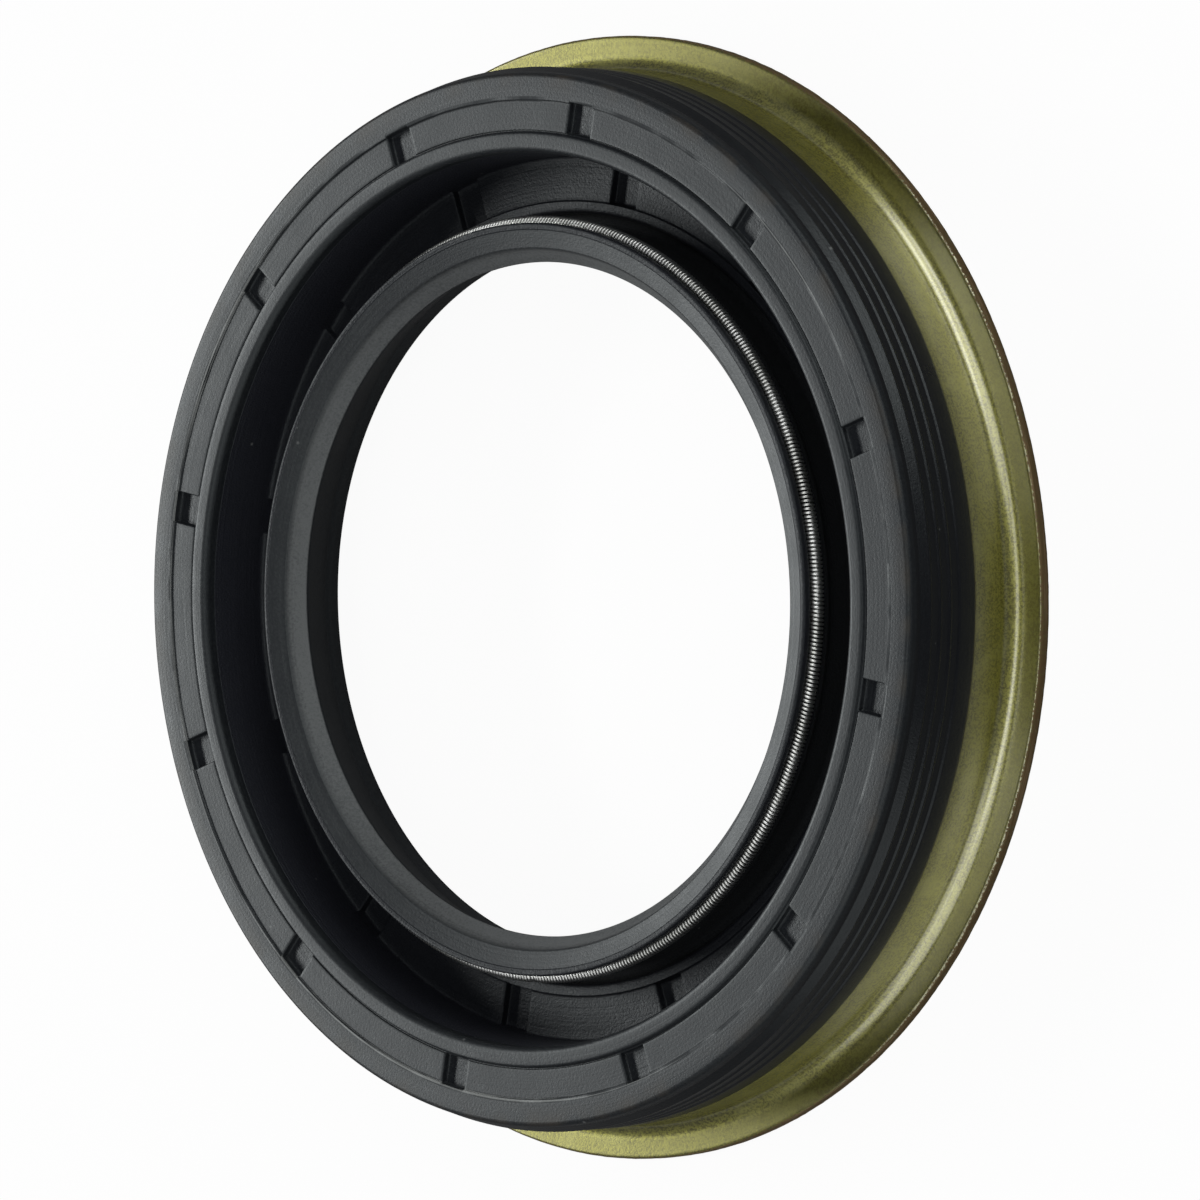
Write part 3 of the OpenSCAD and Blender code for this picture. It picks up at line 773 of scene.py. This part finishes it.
# Soft boxes round the seal. Azimuth runs from the picture's right anticlockwise, and elevation goes
# up from the seal's face.
softBoxes = {
    "leftBox": {"azimuth": 179, "elevation": 28, "size": (0.50, 0.09), "power": 5.8},
    "upperRightBox": {"azimuth": 50, "elevation": 34, "size": (0.85, 0.72), "power": 2.7},
    "rightCard": {"azimuth": 54, "elevation": 15, "size": (0.60, 0.36), "power": 1.2},
    "upperStrip": {"azimuth": 15, "elevation": 67, "size": (1.60, 0.30), "power": 1.7},
    "lowerBox": {"azimuth": 290, "elevation": 50, "size": (0.80, 0.84), "power": 2.4},
    "lowerRightCard": {"azimuth": 305, "elevation": 15, "size": (0.75, 0.50), "power": 1.1},
}
studio = {
    "lampDistance": 0.9,
    "room": (0.045, 0.045, 0.055, 1),
    "whiteInMetal": 0.03,  # share of the white surroundings that glossy and clear rays see
}


def placeLights():
    roll = Matrix.Rotation(-math.radians(view["roll"]), 3, "Z")
    for name, box in softBoxes.items():
        lamp = bpy.data.lights.new(name, "AREA")
        lamp.shape = "RECTANGLE"
        lamp.size, lamp.size_y = box["size"]
        lamp.energy = box["power"]
        holder = bpy.data.objects.new(name, lamp)
        bpy.context.scene.collection.objects.link(holder)
        azimuth, elevation = math.radians(box["azimuth"]), math.radians(box["elevation"])
        flat = Vector((math.cos(azimuth), math.sin(azimuth), 0)) * math.cos(elevation)
        direction = roll @ (flat + Vector((0, 0, math.sin(elevation))))
        holder.location = direction * studio["lampDistance"] + Vector((0, 0, ringHeight * mm))
        holder.rotation_euler = direction.to_track_quat("Z", "Y").to_euler()
    world = bpy.data.worlds.new("paleRoom")
    bpy.context.scene.world = world
    world.use_nodes = True
    world.node_tree.nodes.clear()
    make = nodeMaker(world.node_tree)
    path = make("ShaderNodeLightPath").outputs
    room = make("ShaderNodeBackground", {0: studio["room"], 1: 1.0})
    white = make("ShaderNodeBackground", {0: (1, 1, 1, 1), 1: 1.0})
    mirrored = make("ShaderNodeMath", {0: path["Is Glossy Ray"], 1: path["Is Transmission Ray"]},
                    operation="MAXIMUM")
    share = make("ShaderNodeMath", {0: mirrored.outputs[0], 1: studio["whiteInMetal"]}, operation="MULTIPLY")
    seen = make("ShaderNodeMath", {0: path["Is Camera Ray"], 1: share.outputs[0]}, operation="MAXIMUM")
    mixed = make("ShaderNodeMixShader", {0: seen.outputs[0], 1: room.outputs[0], 2: white.outputs[0]})
    make("ShaderNodeOutputWorld", {0: mixed.outputs[0]})


placeLights()


# A plain pale floor that reads white to the camera and keeps a faint shadow of the seal. To all other
# rays it is a darker grey, so that little light comes back up to the seal.
def placeFloor():
    paint = {"seen": (0.82, 0.82, 0.81, 1), "bounced": (0.20, 0.20, 0.20, 1), "glow": 0.95}
    reach = 2.5
    mesh = bpy.data.meshes.new("floor")
    corners = [(-reach, -reach, 0), (reach, -reach, 0), (reach, reach, 0), (-reach, reach, 0)]
    mesh.from_pydata(corners, [], [(0, 1, 2, 3)])
    floor = bpy.data.objects.new("floor", mesh)
    bpy.context.scene.collection.objects.link(floor)
    finish = Finish("paleFloor", Roughness=0.9, Specular_IOR_Level=0.0)
    path = finish.make("ShaderNodeLightPath").outputs
    finish.feed(Base_Color=finish.mixColor(path["Is Camera Ray"], paint["bounced"], paint["seen"]))
    seen = finish.math("MULTIPLY", path["Is Camera Ray"], paint["glow"])
    mirrored = finish.math("MAXIMUM", path["Is Glossy Ray"], path["Is Transmission Ray"])
    mirrored = finish.math("MULTIPLY", mirrored, studio["whiteInMetal"])
    glow = finish.make("ShaderNodeEmission", {0: (1, 1, 1, 1), 1: 1.0})
    mixed = finish.make("ShaderNodeMixShader", {
        0: finish.math("ADD", seen, mirrored), 1: finish.shader.outputs[0], 2: glow.outputs[0]})
    output = next(node for node in finish.material.node_tree.nodes if node.type == "OUTPUT_MATERIAL")
    finish.material.node_tree.links.new(mixed.outputs[0], output.inputs[0])
    mesh.materials.append(finish.material)


placeFloor()
bpy.context.scene.view_settings.view_transform = "Standard"
print("stage ready")
